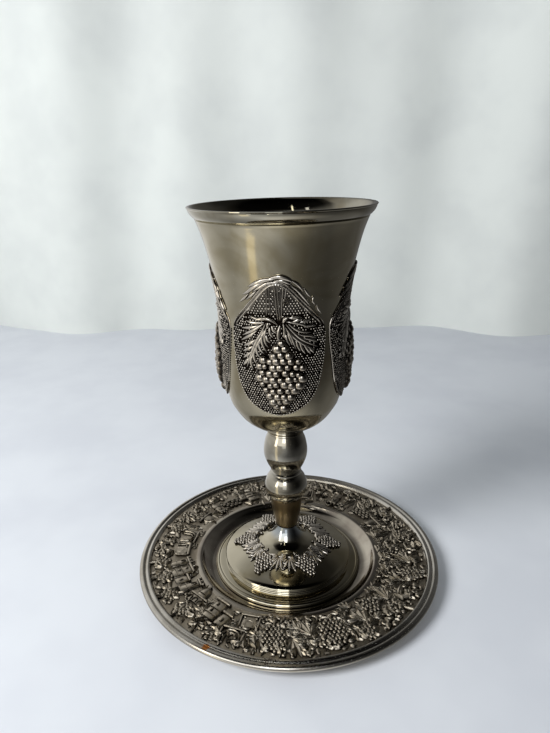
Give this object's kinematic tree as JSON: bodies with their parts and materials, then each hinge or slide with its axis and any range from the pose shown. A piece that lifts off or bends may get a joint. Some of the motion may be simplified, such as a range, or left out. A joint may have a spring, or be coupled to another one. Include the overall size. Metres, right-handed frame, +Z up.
{
  "type": "kiddush cup with saucer",
  "caption": "Stemmed ceremonial wine cup with a bell-shaped bowl and raised vine medallions, standing in the well of its matching relief saucer.",
  "frame": {"origin": "middle of the saucer's flat underside, on the table", "axes": "+Z up along the cup's axis; one vine medallion of the bowl faces -Y"},
  "size_m": [0.12, 0.12, 0.1431],
  "materials": {
    "silver_plate": "polished silver plate, warm grey, with blackened recesses in the relief",
    "antiqued_silver": "satin antiqued silver plate, dark in the recesses, worn on the border"
  },
  "bodies": {
    "root": {"bowl": "silver_plate", "stem": "silver_plate", "foot": "silver_plate", "saucer": "antiqued_silver"}
  },
  "joints": []
}
